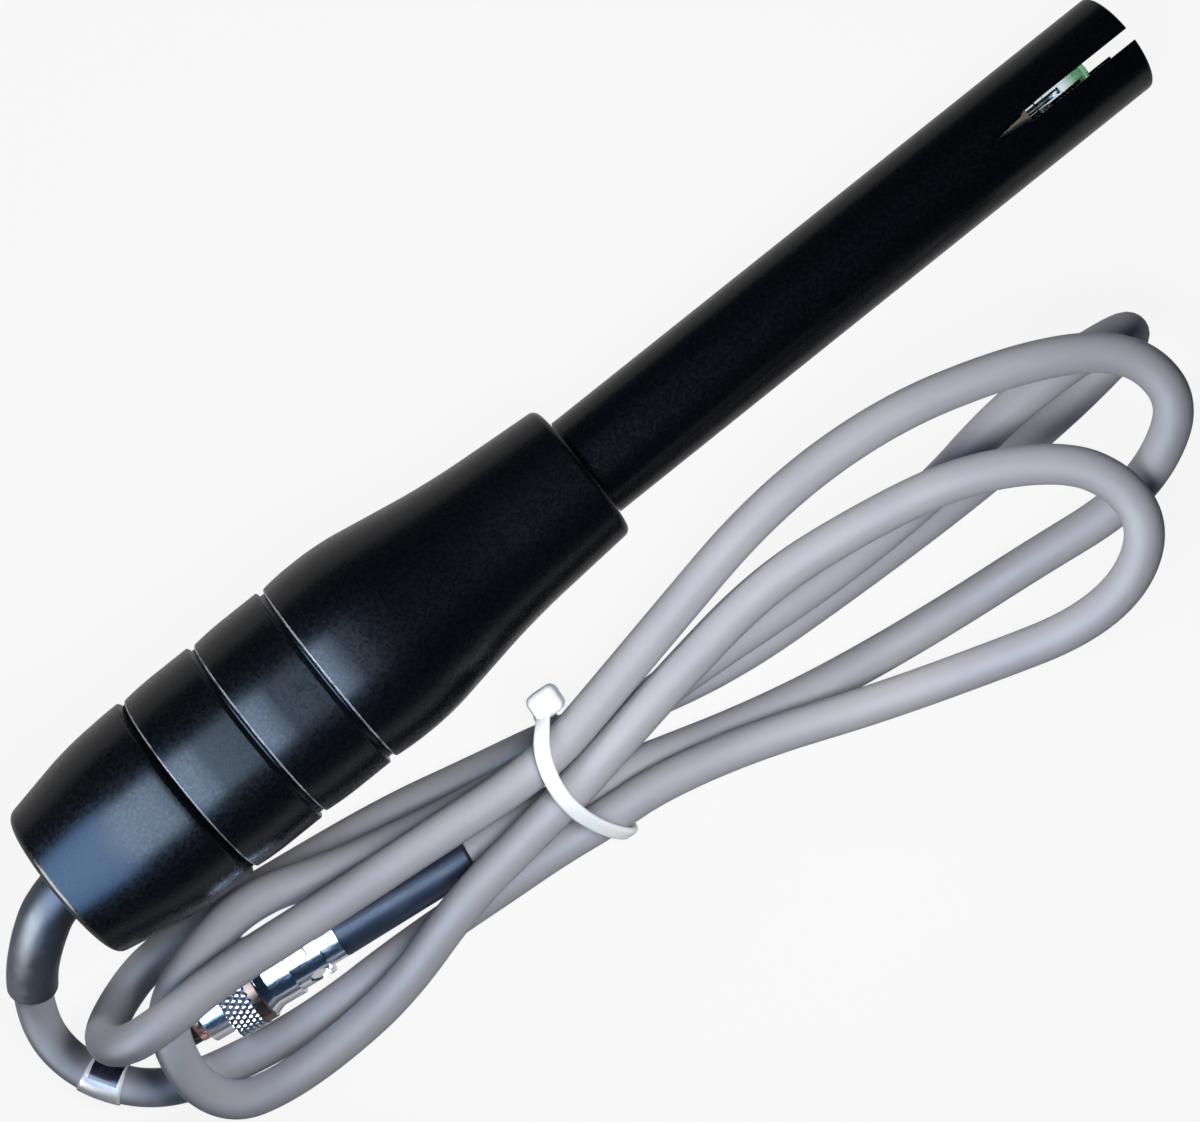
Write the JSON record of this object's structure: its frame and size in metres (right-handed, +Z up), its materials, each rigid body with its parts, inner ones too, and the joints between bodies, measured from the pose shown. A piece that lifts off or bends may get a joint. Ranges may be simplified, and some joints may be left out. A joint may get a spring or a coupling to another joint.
{
  "type": "ph electrode",
  "caption": "Combination pH electrode: a black probe with a slotted guard round its glass bulb, a stepped head, and a tied cable that ends in a knurled plug.",
  "frame": {"origin": "on the floor under the middle of the probe, which lies on its head's front edge and on its tip's edge", "axes": "+X along the probe towards its tip, +Z up"},
  "size_m": [0.1615, 0.0596, 0.0248],
  "materials": {
    "shaft_plastic": "satin",
    "head_plastic": "satin",
    "bulb_glass": "polished",
    "bush_resin": "matt",
    "white_ceramic": "matt",
    "seal_rubber": "matt",
    "silver_wire": "bright",
    "copper_wire": "bright",
    "crimp_metal": "plain",
    "cable_jacket": "satin",
    "relief_rubber": "satin",
    "marker_film": "gloss",
    "tie_nylon": "satin",
    "plug_chrome": "polished",
    "washer_copper": "bright",
    "nose_plastic": "satin",
    "contact_gold": "bright",
    "boot_rubber": "satin"
  },
  "bodies": {
    "electrode": {"body_tube": "shaft_plastic", "head_shell": "head_plastic", "rear_cap": "head_plastic", "glass_electrode": "bulb_glass", "tip_bush": "bush_resin", "upper_bush": "bush_resin", "ceramic_junction": "white_ceramic", "seal_ring": "seal_rubber", "stem_seal": "seal_rubber", "inner_silver_wire": "silver_wire", "reference_wire": "silver_wire", "core_wire": "copper_wire", "plug_core_wire": "copper_wire", "cable_ferrule": "crimp_metal", "snap_ring": "crimp_metal", "cable": "cable_jacket", "strain_relief": "relief_rubber", "cable_marker": "marker_film", "cable_tie": "tie_nylon", "plug_body": "plug_chrome", "clamp_nut": "plug_chrome", "side_screw": "plug_chrome", "front_washer": "washer_copper", "insulator": "nose_plastic", "contact_pin": "contact_gold", "plug_boot": "boot_rubber"},
    "ring": {"coupling_ring": "plug_chrome"}
  },
  "joints": [
    {"name": "ring_turn", "type": "hinge", "parent": "electrode", "child": "ring", "pos_m": [-0.064, -0.0206, 0.0052], "axis": [0.989, -0.1478, 0], "continuous": true}
  ]
}
